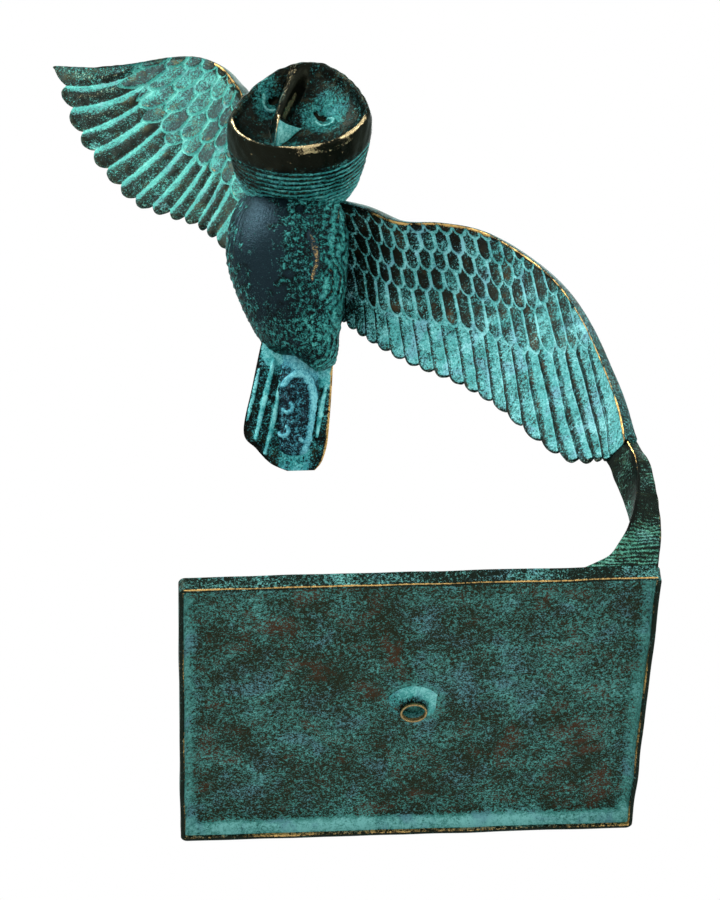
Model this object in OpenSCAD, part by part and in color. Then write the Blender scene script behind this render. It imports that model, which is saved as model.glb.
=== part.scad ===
// Cast bronze owl in flight, carried by one wing tip on a shallow tray base.
// Millimetres, +Z up. The origin is the middle of the boss's mouth under the base,
// in the plane of the rim that the base rests on. The owl faces -Y.

/* [Base] */
// Length of the base along X
base_l = 200; // [160:1:240]
// Width of the base along Y
base_w = 165; // [130:1:200]
// Height of the base, rim to top face
base_h = 7.5; // [6:0.5:12]
// Width of the flat rim that the base rests on
rim_w = 2; // [1.5:0.5:4]
// Thickness of the base's top plate
plate_t = 2; // [1.5:0.5:4]
// Radius of the cove between the walls and the plate
cove_r = 3.5; // [1:0.5:4]
// Radius of the base's outer corners
corner_r = 3; // [2:0.5:8]

/* [Boss] */
// Outer diameter of the boss's tube
boss_d = 11.7; // [11:0.1:14]
// Diameter of the boss's hole, clear for a 3/8 in bolt
bolt_d = 9.8; // [6:0.1:10]
// Diameter of the boss's flared foot
boss_foot_d = 23.5; // [18:0.5:30]

/* [Wings] */
// Thickness of a wing at its leading edge
wing_lead_t = 6; // [4:0.5:8]
// Thickness of a wing at its feather tips
wing_tip_t = 2.2; // [1.5:0.1:4]
// How far the lower wing's back stands past the ridge at its leading edge
low_edge = 1; // [0:0.1:4]
// The same on the raised wing
high_edge = 2; // [0:0.1:4]
// Hollow of a wing's underside
wing_camber = 3; // [0:0.5:6]
// Long feathers along the lower wing's trailing edge
low_feathers = 19; // [12:1:24]
// Long feathers along the raised wing's trailing edge
high_feathers = 15; // [10:1:20]
// How far the gaps between the feather tips run in
scallop_depth = 2.4; // [0:0.2:4]

/* [Owl] */
// Width of the face across its rim
face_w = 67; // [60:0.5:70]
// Height of the face across its rim
face_h = 62; // [56:0.5:66]
// Depth of the hollow in the face
face_depth = 11; // [6:0.5:14]
// Thickness of the tail fan at its edges
tail_t = 5; // [3:0.5:8]
// Diameter of the spigots that key the castings together
spigot_d = 4; // [3:0.5:4]

/* [Hidden] */
$fn = 48;
bronze = "#2f3a34";
verdigris = "#3f9d97";
cavity_h = base_h - plate_t;
// How far cutting bodies run past what they cut
over_cut = 1;
// Share of the cavity's height that the boss's foot flares over, and steps of the flare
flare_share = 0.6;
flare_steps = 6;
// Clearance of a spigot in its socket, filled by braze
braze_gap = 0.1;
// Height where the lower wing's tip ends on the strut
wing_low_z = 92;
ring_steps = 24;
strut_rings = 20;
ribs_per_feather = 3;
torso_rings = 12;
// Share of a wing's span, either side of a rib, that the rib's direction is taken over
span_step = 0.02;
// The step at the leading edge fades out over one part in this many of the chord
edge_fade = 4;
// Depth of the torso's section as a share of its width
torso_flat = 0.94;
// How much narrower the head gets toward its crown, as a share of its width
crown_narrow = 0.25;
// The legs' middle stands this far to the right of the tail's
leg_shift = 1;
// Half size of the block that cuts the legs off at the tail's mid plane
cut_half = 50;
// Keeps the last point of a smooth curve inside its last stretch
curve_end = 0.00001;

// Owl's stations: the face's middle, the back of the head, the torso's axis and the tail's
face_mid = [-35, -80, 299];
head_depth = 60;
// How far the head is turned to the owl's right, and how far its crown leans
head_turn = 9;
head_roll = 8;
torso_axis = [[-37, -28, 304], [-41, -16, 268], [-36, 12, 226]];
tail_root = [-37, 4, 240];
tail_end = [-42, 47, 194];

// Lower wing: the ridge along its leading edge, then its feather tips, body to strut
low_lead = [[-26, -34, 290], [-7, -38, 279], [10, -41, 265], [29, -44, 260], [47, -47, 251],
            [63, -52, 231], [77, -56, 207], [86, -61, 176], [92, -65, 141], [95, -69, 113],
            [95.5, -71, 90]];
low_trail = [[-26, -2, 255], [-16, 2, 244], [-4, -2, 226], [13, -7, 206], [31, -15, 186],
             [47, -25, 160], [60, -37, 128], [71, -47, 105], [78, -53, 97], [83, -57, 94],
             [87, -59, 90]];
// Raised wing, body to tip
high_lead = [[-42, -16, 300], [-49, -13, 350], [-57, -7, 397], [-61, -3, 413], [-67, 2, 430],
             [-78, 7, 443], [-92, 11, 448], [-110, 16, 450], [-128, 21, 453]];
high_trail = [[-54, -2, 268], [-66, 9, 299], [-81, 17, 329], [-95, 23, 344], [-112, 28, 360],
              [-127, 31, 388], [-140, 31, 418], [-147, 28, 446], [-150, 26, 459]];

// Spigots, each from its own casting into the one that it is brazed to
low_wing_key = [[-4, -22, 267], [-26, -18, 270]];
high_wing_key = [[-48, -5, 312], [-43, -10, 292]];
head_key = [[-36, -58, 296], [-38, -32, 288]];
tail_key = [[-40, 22, 221], [-38, 6, 237]];

// Strut sections from the base up, the last three behind the wing: height, then
// front left, front right, back right and back left corners
strut_cuts = [
    [base_h, [68, -82.5], [99, -82.5], [99, -66], [68, -66]],
    [13, [78, -82.5], [100, -82.5], [100, -68], [79, -68]],
    [20, [83.5, -82.5], [101.5, -82], [101, -69], [84, -69]],
    [31, [89, -82], [103, -81], [102, -69], [90, -69]],
    [45, [93.5, -80], [104, -78], [102.5, -67], [92.5, -66]],
    [60, [96.5, -77], [104.5, -75], [101, -63], [91.5, -64]],
    [76, [98, -74], [104.5, -72], [97, -59], [89.5, -61]],
    [86, [97, -72], [102.5, -70], [96, -57], [88, -60]],
    [95, [94, -67], [99, -64], [95, -55], [88, -56]],
    [106, [92, -64], [97, -61], [93, -54], [86, -55]],
    [120, [91, -61], [94.5, -59.5], [90, -53], [86, -56]]];

function unit(v) = v / norm(v);
function blend(a, b, t) = a + (b - a) * t;

// Point at t, from 0 to 1, on the smooth curve through the points p
function on_curve(p, t) =
    let (last = len(p) - 1, s = min(t * last, last - curve_end), i = floor(s), f = s - i,
         a = p[max(i - 1, 0)], b = p[i], c = p[i + 1], d = p[min(i + 2, last)])
    b + (c - a) * f / 2 + (2 * a - 5 * b + 4 * c - d) * f * f / 2
      + (3 * b - a - 3 * c + d) * f * f * f / 2;

// Closed skin over a row of rings that have the same number of points, with its
// faces turned outward whichever way the rings run
module skin(rings) {
    n = len(rings[0]);
    m = len(rings);
    points = concat([for (ring = rings) each ring], [mean(rings[0]), mean(rings[m - 1])]);
    sides = [for (j = [0:m - 2]) for (i = [0:n - 1])
             let (k = (i + 1) % n, a = j * n + i, b = j * n + k, c = a + n, d = b + n)
             each [[a, c, b], [b, c, d]]];
    caps = [for (i = [0:n - 1]) let (k = (i + 1) % n)
            each [[i, k, m * n], [(m - 1) * n + k, (m - 1) * n + i, m * n + 1]]];
    faces = concat(sides, caps);
    turned = [for (f = faces) [f[2], f[1], f[0]]];
    polyhedron(points, outward(points, faces) ? faces : turned);
}
function mean(ring, i = 0) = i == len(ring) ? [0, 0, 0] : ring[i] / len(ring) + mean(ring, i + 1);
// Whether the faces run clockwise seen from outside, by the sign of their volume
function outward(points, faces) =
    0 > [for (f = faces) points[f[0]] * cross(points[f[1]], points[f[2]])] * [for (f = faces) 1];

// Ring of ring_steps points about centre c, with half axes u and v
function oval(c, u, v) = [for (i = [0:ring_steps - 1]) let (a = 360 * i / ring_steps)
                          c + u * cos(a) + v * sin(a)];

// Section of a wing: underside from the ridge g to the feather tips t, then the back.
// n points from the underside into the wing, and out is the step past the leading edge.
chord_steps = [0, 0.12, 0.35, 0.6, 0.85, 1];
function rib(g, t, n, out) = concat(
    [for (u = chord_steps) blend(g, t, u) + n * wing_camber * 4 * u * (1 - u)],
    [for (i = [len(chord_steps) - 1:-1:0]) let (u = chord_steps[i])
     blend(g, t, u) + out * max(0, 1 - edge_fade * u)
     + n * (wing_camber * 4 * u * (1 - u) + wing_lead_t + (wing_tip_t - wing_lead_t) * u)]);

// A whole wing: smooth ruled plate with a scalloped trailing edge. The first and
// the last of its ribs are plain, and side turns its back away from the underside.
module wing(lead, trail, feathers, edge, side) {
    ribs = feathers * ribs_per_feather;
    skin([for (i = [0:ribs])
        let (s = i / ribs, g = on_curve(lead, s), tip = on_curve(trail, s),
             s1 = max(0, s - span_step), s2 = min(1, s + span_step),
             along = unit(on_curve(lead, s2) - on_curve(lead, s1)),
             span = along + unit(on_curve(trail, s2) - on_curve(trail, s1)),
             chord = unit(tip - g), n = side * unit(cross(chord, span)),
             out = unit(along * (chord * along) - chord),
             gap = i % ribs_per_feather == 0 && i < ribs ? scallop_depth : 0)
        rib(g, tip - chord * gap, n, out * edge)]);
}

module spigot(key, extra = 0) {
    v = key[1] - key[0];
    translate(key[0])
        rotate([0, acos(v.z / norm(v)), atan2(v.y, v.x)])
            cylinder(d = spigot_d + extra, h = norm(v));
}

module rounded_plate(l, w, r, h) {
    linear_extrude(h) {
        square([l - 2 * r, w], center = true);
        square([l, w - 2 * r], center = true);
        for (x = [-1, 1], y = [-1, 1])
            translate([x * (l / 2 - r), y * (w / 2 - r)])
                circle(r);
    }
}

// Quarter-round cove along one wall, length l along X, wall on the +Y side
module cove(l) {
    translate([-l / 2, 0, 0])
        rotate([90, 0, 90])
            linear_extrude(l)
                difference() {
                    translate([-cove_r, -cove_r])
                        square(cove_r);
                    translate([-cove_r, -cove_r])
                        circle(cove_r);
                }
}

module base_tray() {
    inner_l = base_l - 2 * rim_w;
    inner_w = base_w - 2 * rim_w;
    color(bronze)
        difference() {
            rounded_plate(base_l, base_w, corner_r, base_h);
            difference() {
                translate([-inner_l / 2, -inner_w / 2, -over_cut])
                    cube([inner_l, inner_w, cavity_h + over_cut]);
                for (a = [0, 180])
                    rotate([0, 0, a])
                        translate([0, inner_w / 2, cavity_h])
                            cove(inner_l);
                for (a = [90, 270])
                    rotate([0, 0, a])
                        translate([0, inner_l / 2, cavity_h])
                            cove(inner_w);
            }
        }
}

module mount_boss() {
    foot_r = boss_foot_d / 2;
    tube_r = boss_d / 2;
    flare_h = cavity_h * flare_share;
    flare = [for (i = [0:flare_steps]) let (a = 90 * i / flare_steps)
             [foot_r - (foot_r - tube_r) * sin(a), cavity_h - flare_h * (1 - cos(a))]];
    color(verdigris)
        rotate_extrude()
            polygon(concat([[bolt_d / 2, 0], [bolt_d / 2, cavity_h]], flare, [[tube_r, 0]]));
}

module strut_solid() {
    cuts = [for (k = [0:4]) [for (c = strut_cuts) c[k]]];
    skin([for (i = [0:strut_rings]) let (t = i / strut_rings, z = on_curve(cuts[0], t))
          [for (k = [1:4]) let (p = on_curve(cuts[k], t)) [p.x, p.y, z]]]);
}

module support_strut() {
    color(bronze)
        difference() {
            strut_solid();
            low_wing_plate();
        }
}

module low_wing_plate() {
    difference() {
        wing(low_lead, low_trail, low_feathers, low_edge, -1);
        translate([0, -base_w, 0])
            cube([base_l, base_w, wing_low_z]);
    }
}

module low_wing() {
    color(verdigris) {
        difference() {
            low_wing_plate();
            torso_solid();
        }
        spigot(low_wing_key);
    }
}

module high_wing() {
    color(verdigris) {
        difference() {
            wing(high_lead, high_trail, high_feathers, high_edge, 1);
            torso_solid();
        }
        spigot(high_wing_key);
    }
}

// Half widths of the torso from its top under the head to its lower end
torso_r = [21, 26, 29, 29, 26, 21, 14];
module torso_solid() {
    axis = unit(torso_axis[2] - torso_axis[0]);
    side = unit(cross([0, 1, 0], axis));
    front = cross(axis, side);
    skin([for (i = [0:torso_rings]) let (t = i / torso_rings, r = on_curve(torso_r, t))
          oval(on_curve(torso_axis, t), side * r, front * r * torso_flat)]);
}

module torso() {
    color(bronze)
        difference() {
            torso_solid();
            for (key = [low_wing_key, high_wing_key, head_key, tail_key])
                spigot(key, 2 * braze_gap);
        }
}

// Head from the hollow of the face over its rim to the back of the head: depth and size
head_cuts = [[face_depth, 0.3], [face_depth * 0.85, 0.62], [face_depth * 0.45, 0.83],
             [0, 0.92], [-0.6, 0.96], [1, 1], [6, 1.02], [16, 1.01], [28, 0.95], [40, 0.86],
             [50, 0.7], [56, 0.52], [head_depth, 0.25]];
// The head's outline is fuller below its middle than above: shares of the face's height
chin_share = 0.41;
crown_share = 0.59;
function head_ring(depth, size) =
    let (turn = head_turn * (1 - depth / head_depth),
         right = [cos(turn) * cos(head_roll), -sin(turn) * cos(head_roll), -sin(head_roll)],
         up = [cos(turn) * sin(head_roll), -sin(turn) * sin(head_roll), cos(head_roll)])
    [for (i = [0:ring_steps - 1])
     let (a = 360 * i / ring_steps, rise = sin(a),
          x = face_w / 2 * cos(a) * (1 - crown_narrow * max(0, rise)) * size,
          z = face_h * (rise > 0 ? crown_share : chin_share) * rise * size)
     face_mid + [0, depth, 0] + right * x + up * z];
module head_solid() {
    skin([for (c = head_cuts) head_ring(c[0], c[1])]);
}

module head() {
    color(bronze) {
        difference() {
            head_solid();
            torso_solid();
        }
        spigot(head_key);
    }
}

// Tail fan: share of its length, then its left and right half widths and its half thickness
tail_cuts = [[-0.12, 14, 14, 1.3], [0.05, 17, 16.5, 1.1], [0.4, 20.5, 17, 1], [0.74, 23.4, 16.6, 0.8],
             [0.87, 17, 16, 0.7], [0.98, 10, 14, 0.6], [1.04, 2, 11, 0.5]];
module tail_fan() {
    axis = tail_end - tail_root;
    n = unit(cross([1, 0, 0], axis));
    skin([for (c = tail_cuts)
          oval(tail_root + axis * c[0] + [(c[2] - c[1]) / 2, 0, 0],
               [(c[1] + c[2]) / 2, 0, 0], n * c[3] * tail_t / 2)]);
}

// Everything behind the tail fan's mid plane
module tail_back() {
    axis = tail_end - tail_root;
    translate(tail_root)
        rotate([-acos(axis.z / norm(axis)), 0, 0])
            translate([-cut_half, -cut_half, -cut_half])
                cube([2 * cut_half, cut_half, 3 * cut_half]);
}

module tail() {
    color(verdigris) {
        difference() {
            tail_fan();
            torso_solid();
        }
        spigot(tail_key);
    }
}

// Legs drawn up under the tail: share of the tail's length, half width and half thickness
leg_cuts = [[0.12, 6, 5], [0.22, 9, 7], [0.4, 10, 8], [0.6, 9.5, 7.5], [0.8, 8, 6.5], [0.92, 4, 4]];
module tucked_legs() {
    axis = tail_end - tail_root;
    n = unit(cross([1, 0, 0], axis));
    color(verdigris)
        difference() {
            skin([for (c = leg_cuts)
                  oval(tail_root + axis * c[0] + [leg_shift, 0, 0], [c[1], 0, 0], n * c[2])]);
            torso_solid();
            tail_fan();
            tail_back();
        }
}

base_tray();
mount_boss();
support_strut();
low_wing();
high_wing();
torso();
head();
tail();
tucked_legs();
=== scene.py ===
import bpy
import numpy as np
from mathutils import Matrix, Vector


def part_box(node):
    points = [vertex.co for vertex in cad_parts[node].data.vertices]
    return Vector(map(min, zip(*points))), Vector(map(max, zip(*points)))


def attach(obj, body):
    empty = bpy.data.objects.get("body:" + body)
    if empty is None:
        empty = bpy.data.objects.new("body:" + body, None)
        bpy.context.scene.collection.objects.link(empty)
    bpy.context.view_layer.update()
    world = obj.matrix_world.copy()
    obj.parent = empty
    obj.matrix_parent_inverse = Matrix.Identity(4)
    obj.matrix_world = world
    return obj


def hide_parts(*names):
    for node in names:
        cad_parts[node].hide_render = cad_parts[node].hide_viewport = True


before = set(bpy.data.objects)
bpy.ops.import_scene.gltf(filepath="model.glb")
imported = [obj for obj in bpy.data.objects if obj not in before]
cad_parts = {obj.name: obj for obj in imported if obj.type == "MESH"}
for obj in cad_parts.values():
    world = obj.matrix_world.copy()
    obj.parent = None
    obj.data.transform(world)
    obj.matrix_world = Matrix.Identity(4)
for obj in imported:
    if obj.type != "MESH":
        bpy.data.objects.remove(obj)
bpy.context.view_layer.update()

# ---------------------------------------------------------------- setting
# A pale floor under the rim, a pale room, and three soft lamps. The camera looks up at
# the tray's underside, so the floor is seen only from above and lets light through.
tray_low, tray_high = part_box("base_tray")
boss_low, boss_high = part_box("mount_boss")
# One drawing millimetre in metres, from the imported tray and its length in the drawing
tray_drawn = 200
mm = (tray_high.x - tray_low.x) / tray_drawn
home = np.array([(boss_low.x + boss_high.x) / 2, (boss_low.y + boss_high.y) / 2, boss_low.z])


def placed(points):
    """Points drawn in millimetres from the boss's mouth, moved into the frame in metres."""
    return home + np.asarray(points, float) * mm


def aimed(position, target, roll=0.0):
    """Placing that looks from position to target, then turns by roll degrees about its own line."""
    look = (Vector(target) - Vector(position)).to_track_quat("-Z", "Y")
    rolled = Matrix.Rotation(np.radians(roll), 4, "Z")
    return Matrix.Translation(position) @ look.to_matrix().to_4x4() @ rolled


view_from = placed((-123.18, -1260.04, -1063.99))
view_along = np.array((0.06245, 0.71662, 0.69466))
camera_data = bpy.data.cameras.new("Camera")
camera_data.lens = 154.83
camera_data.sensor_width = 36
camera_data.clip_end = 20
camera = bpy.data.objects.new("Camera", camera_data)
camera.matrix_world = aimed(view_from, view_from + view_along, roll=-4.875)
add_object = bpy.context.collection.objects.link
add_object(camera)
bpy.context.scene.camera = camera

room = bpy.data.worlds.new("Pale room")
room.use_nodes = True
room_light = room.node_tree.nodes["Background"].inputs
room_light["Color"].default_value = (1.0, 1.0, 1.0, 1)
room_light["Strength"].default_value = 1.0
bpy.context.scene.world = room
bpy.context.scene.view_settings.view_transform = "Standard"

middle = placed((-10, -20, 210))
for name, spot, size, watts in (("Key lamp", (-650, -480, 760), 520, 11),
                                ("Fill lamp", (900, -700, 100), 700, 5),
                                ("Top lamp", (100, 300, 1200), 800, 8)):
    lamp_data = bpy.data.lights.new(name, "AREA")
    lamp_data.shape = "DISK"
    lamp_data.size = size * mm
    lamp_data.energy = watts
    lamp = bpy.data.objects.new(name, lamp_data)
    lamp.matrix_world = aimed(placed(spot), middle)
    add_object(lamp)

floor_paint = bpy.data.materials.new("Pale floor")
floor_paint.use_nodes = True
paint = floor_paint.node_tree
matt = paint.nodes["Principled BSDF"]
matt.inputs["Base Color"].default_value = (0.86, 0.86, 0.85, 1)
matt.inputs["Roughness"].default_value = 0.7
side_seen = paint.nodes.new("ShaderNodeNewGeometry")
clear = paint.nodes.new("ShaderNodeBsdfTransparent")
either = paint.nodes.new("ShaderNodeMixShader")
paint.links.new(side_seen.outputs["Backfacing"], either.inputs[0])
paint.links.new(matt.outputs[0], either.inputs[1])
paint.links.new(clear.outputs[0], either.inputs[2])
paint.links.new(either.outputs[0], paint.nodes["Material Output"].inputs["Surface"])
floor_half = 3000 * mm
floor_mesh = bpy.data.meshes.new("Floor")
floor_mesh.from_pydata([(-floor_half, -floor_half, home[2]), (floor_half, -floor_half, home[2]),
                        (floor_half, floor_half, home[2]), (-floor_half, floor_half, home[2])],
                       [], [(0, 1, 2, 3)])
floor_mesh.materials.append(floor_paint)
floor = bpy.data.objects.new("Floor", floor_mesh)
add_object(floor)
for rays in ("diffuse", "glossy", "transmission", "shadow"):
    setattr(floor, "visible_" + rays, False)

# ---------------------------------------------------------------- tray
# Shallow rectangular tray, cast in one with rounded coves under its plate, then patinated:
# a mottled green underside, brighter along the walls, and a rim rubbed bare.


def eased(x, low, high):
    """Smooth step: 0 below low, 1 above high, and 3t^2 - 2t^3 between them."""
    t = np.clip((np.asarray(x, float) - low) / (high - low), 0, 1)
    return t * t * (3 - 2 * t)


def cast_ripple(points, pitch, seed):
    """Gentle unevenness of a casting, about -1 to 1: a quarter of the sum of 14 sine waves
    through space, whose lengths lie round pitch and whose directions are drawn from seed."""
    rng = np.random.default_rng(seed)
    total = np.zeros(points.shape[:-1])
    for _ in range(14):
        way = rng.normal(size=3)
        way *= 2 * np.pi / (pitch * rng.uniform(0.7, 1.5)) / np.linalg.norm(way)
        total += np.sin(points @ way + rng.uniform(0, 2 * np.pi))
    return total / 4


def cast_skin(name, rings, paint_on, finish, looped=False):
    """Closed mesh over a grid of points, rings by points round each ring. Every ring closes
    on itself; the first and last ring each close on their mean point, or onto each other
    if looped. Faces are turned so that the volume inside comes out positive.
    paint_on holds one value for each grid point: hollow, rub and bare."""
    m, n = rings.shape[:2]
    points = rings.reshape(-1, 3)
    rows = m if looped else m - 1
    row = np.arange(rows)[:, None]
    col = np.arange(n)[None, :]
    below, above = row * n, (row + 1) % m * n
    quads = np.stack([below + col, below + (col + 1) % n, above + (col + 1) % n, above + col], axis=-1)
    quads = quads.reshape(-1, 4)
    caps = np.empty((0, 3), int)
    if not looped:
        points = np.vstack([points, rings[0].mean(axis=0), rings[-1].mean(axis=0)])
        c = np.arange(n)
        d = (c + 1) % n
        first = np.stack([d, c, np.full(n, m * n)], axis=-1)
        last = np.stack([(m - 1) * n + c, (m - 1) * n + d, np.full(n, m * n + 1)], axis=-1)
        caps = np.vstack([first, last])
    p = points[quads]
    volume = np.einsum("ij,ij->", p[:, 0], np.cross(p[:, 1], p[:, 2]))
    volume += np.einsum("ij,ij->", p[:, 0], np.cross(p[:, 2], p[:, 3]))
    if volume < 0:
        quads, caps = quads[:, ::-1], caps[:, ::-1]
    mesh = bpy.data.meshes.new(name)
    mesh.from_pydata(placed(points).tolist(), [], quads.tolist() + caps.tolist())
    mesh.shade_smooth()
    for key in ("hollow", "rub_and_sheen", "bare"):
        value = np.broadcast_to(paint_on.get(key, 0.0), (m, n))
        if not looped:
            value = np.concatenate([value.ravel(), [value[0].mean(), value[-1].mean()]])
        layer = mesh.attributes.new(key, "FLOAT", "POINT")
        layer.data.foreach_set("value", value.astype(np.float32).ravel())
    mesh.materials.append(finish)
    piece = bpy.data.objects.new(name, mesh)
    add_object(piece)
    return piece


def pigment(code):
    """Colour from its six-figure paint code, as light: each part's share of 255, raised
    from screen brightness to light."""
    parts = np.array([int(code[i:i + 2], 16) for i in (0, 2, 4)]) / 255
    return np.where(parts < 0.04, parts / 12.92, ((parts + 0.055) / 1.055) ** 2.4).tolist()


def patina(name, pale="7CC8C4", green="37908C", deep="0E4345", cool="5C8796", brown="14130F",
           warm="3A2F20", dark="0D100C", gold="CBA766", cover=0.0, hold=1.0, speck=0.6,
           speck_share=1.0, patch=14.0, patch_share=0.4, cool_share=0.4, grain=0.12, polish=0.34,
           chalk=0.0):
    """Bronze with verdigris. The green's amount is cover + hold times hollow, at most 0.9,
    less bare, plus noise at three sizes; bronze gives way to green as it passes a half. The
    crust runs from deep through green to pale as the noise, hollow and chalk rise, and turns
    to cool in patches. The bronze runs from brown to warm in other patches, and to dark
    where bare is high. Gold shows where rub plus noise passes a half. speck and patch are
    feature sizes and grain is the crust's height, in drawing millimetres; polish is the
    bronze's roughness."""
    made = bpy.data.materials.new(name)
    made.use_nodes = True
    tree = made.node_tree
    surface = tree.nodes["Principled BSDF"]

    def node(kind, **settings):
        n = tree.nodes.new(kind)
        for key, value in settings.items():
            setattr(n, key, value)
        return n

    def feed(socket, value):
        if isinstance(value, (int, float)):
            socket.default_value = value
        elif isinstance(value, str):
            socket.default_value = (*pigment(value), 1)
        else:
            tree.links.new(value, socket)

    def maths(kind, a, b=0.0, c=0.0):
        n = node("ShaderNodeMath", operation=kind)
        for socket, value in zip(n.inputs, (a, b, c)):
            feed(socket, value)
        return n.outputs[0]

    def scaled(a, times, plus):
        return maths("MULTIPLY_ADD", a, times, plus)

    def step(value, low, high, bottom=0.0, top=1.0):
        n = node("ShaderNodeMapRange", interpolation_type="SMOOTHSTEP")
        for socket, v in zip(n.inputs, (value, low, high, bottom, top)):
            feed(socket, v)
        return n.outputs[0]

    def blend(share, a, b):
        n = node("ShaderNodeMix", data_type="RGBA")
        feed(n.inputs["Factor"], share)
        feed(n.inputs[6], a)
        feed(n.inputs[7], b)
        return n.outputs[2]

    place = node("ShaderNodeTexCoord").outputs["Object"]

    def noise(size, detail, roughness, distortion=0.0):
        n = node("ShaderNodeTexNoise")
        feed(n.inputs["Vector"], place)
        n.inputs["Scale"].default_value = 1 / (size * mm)
        n.inputs["Detail"].default_value = detail
        n.inputs["Roughness"].default_value = roughness
        n.inputs["Distortion"].default_value = distortion
        return maths("SUBTRACT", n.outputs[0], 0.5)

    hollow, rub_and_sheen, bare = (node("ShaderNodeAttribute", attribute_name=key).outputs["Fac"]
                         for key in ("hollow", "rub_and_sheen", "bare"))
    fine = noise(speck, 3, 0.65, 0.5)
    pits = noise(speck * 2.4, 3, 0.65, 0.5)
    coarse = noise(patch, 4, 0.65, 0.5)
    drift = noise(patch * 0.6, 3, 0.6, 0.3)
    amount = maths("MINIMUM", scaled(hollow, hold, cover), 0.9)
    amount = maths("SUBTRACT", amount, bare)
    amount = scaled(fine, speck_share * 2, amount)
    amount = scaled(pits, speck_share * 1.3, amount)
    amount = scaled(coarse, patch_share * 2, amount)
    green_here = step(amount, 0.28, 0.66)
    tone = scaled(hollow, 0.6, scaled(pits, 1.4, chalk - 0.12))
    tone = scaled(fine, 1.5, tone)
    tone = scaled(coarse, 1.2, tone)
    crust = blend(step(tone, 0.15, 0.85), blend(step(tone, -0.5, 0.25), deep, green), pale)
    crust = blend(step(drift, 0.0, 0.2, 0.0, cool_share), crust, cool)
    metal = blend(step(scaled(fine, 0.3, drift), -0.2, -0.03), warm, brown)
    metal = blend(step(bare, 0.03, 0.22), metal, dark)
    colour = blend(green_here, metal, crust)
    gold_here = step(scaled(pits, 0.9, scaled(fine, 0.9, rub_and_sheen)), 0.42, 0.75)
    colour = blend(gold_here, colour, gold)
    surface.inputs["Specular Tint"].default_value = (0.45, 0.5, 0.48, 1)
    tree.links.new(colour, surface.inputs["Base Color"])
    shine = maths("MAXIMUM", step(green_here, 0.0, 0.8, 0.85, 0.0), gold_here)
    tree.links.new(shine, surface.inputs["Metallic"])
    dull = step(green_here, 0.0, 1.0, polish, 0.8)
    rough = scaled(gold_here, -0.12, dull)
    tree.links.new(maths("MAXIMUM", rough, 0.2), surface.inputs["Roughness"])
    bump = node("ShaderNodeBump")
    bump.inputs["Strength"].default_value = 0.8
    bump.inputs["Distance"].default_value = grain * mm
    height = scaled(green_here, 0.5, maths("ADD", fine, pits))
    tree.links.new(height, bump.inputs["Height"])
    tree.links.new(bump.outputs[0], surface.inputs["Normal"])
    return made


def tray_outline(inset, scale):
    """Rounded rectangle round the tray, in drawing millimetres: straight sides and quarter
    circles, drawn in by inset, then multiplied by scale about its middle."""
    long_steps, short_steps, corner_steps = 130, 104, 10
    half_l, half_w = tray_half[0] - inset, tray_half[1] - inset
    r = max(corner_r - inset, 0.4)
    sides = []
    spans = ((half_w, half_l, long_steps), (half_l, half_w, short_steps)) * 2
    for turn, (reach, side, steps) in enumerate(spans):
        run = np.linspace(-(side - r), side - r, steps, endpoint=False)
        bend = np.linspace(-np.pi / 2, 0, corner_steps, endpoint=False)
        x = np.concatenate([run, side - r + r * np.cos(bend)])
        y = np.concatenate([np.full(steps, -reach), -reach + r + r * np.sin(bend)])
        c, s = ((1, 0), (0, 1), (-1, 0), (0, -1))[turn]
        sides.append(np.stack([x * c - y * s, x * s + y * c], axis=-1))
    return np.concatenate(sides) * scale


tray_half = ((tray_high.x - tray_low.x) / 2 / mm, (tray_high.y - tray_low.y) / 2 / mm)
tray_h = (tray_high.z - tray_low.z) / mm
corner_r, rim_w, cove_r, plate_t = 3, 2.0, 3.5, 2.0
rim_r, top_r = 0.5, 0.7
plate_z = tray_h - plate_t
quarter = np.linspace(0, np.pi / 2, 9)
# Rings from the middle of the underside, over the cove, the rim and the outside, to the
# middle of the top: each one's distance in from the side, its height and its share of size
under = [(rim_w + cove_r, plate_z, k) for k in np.linspace(0.02, 1, 80)]
under += [(rim_w + cove_r * (1 - np.sin(a)), plate_z - cove_r * (1 - np.cos(a)), 1)
          for a in quarter[1:]]
wall = [(rim_w, z, 1) for z in (1.6, 1.1, 0.7)]
wall += [(rim_w - rim_r * np.sin(a), rim_r - rim_r * np.sin(a), 1) for a in quarter[2::2]]
wall += [(rim_w - 0.9, 0, 1), (rim_w - 1.2, 0, 1)]
wall += [(rim_r * (1 - np.sin(a)), rim_r * (1 - np.cos(a)), 1) for a in quarter[1::2]]
wall += [(0, z, 1) for z in (1.2, 2.2, 3.3, 4.4, 5.5, tray_h - 0.9)]
wall += [(top_r * (1 - np.cos(a)), tray_h - top_r * (1 - np.sin(a)), 1) for a in quarter[1::2]]
over = [(top_r, tray_h, k) for k in np.linspace(0.99, 0.02, 50)]
tray_rings = under + wall + over
tray_points = np.stack([np.insert(tray_outline(d, k), 2, z, axis=1) for d, z, k in tray_rings])
tray_x, tray_y = tray_points[..., 0], tray_points[..., 1]
inset_xy = np.minimum(tray_half[0] - abs(tray_x), tray_half[1] - abs(tray_y))
from_middle = np.hypot(tray_x, tray_y)
below_plate = np.arange(len(tray_rings))[:, None] < len(under)
rim_here = ~below_plate & (tray_points[..., 2] < 3)
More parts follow.
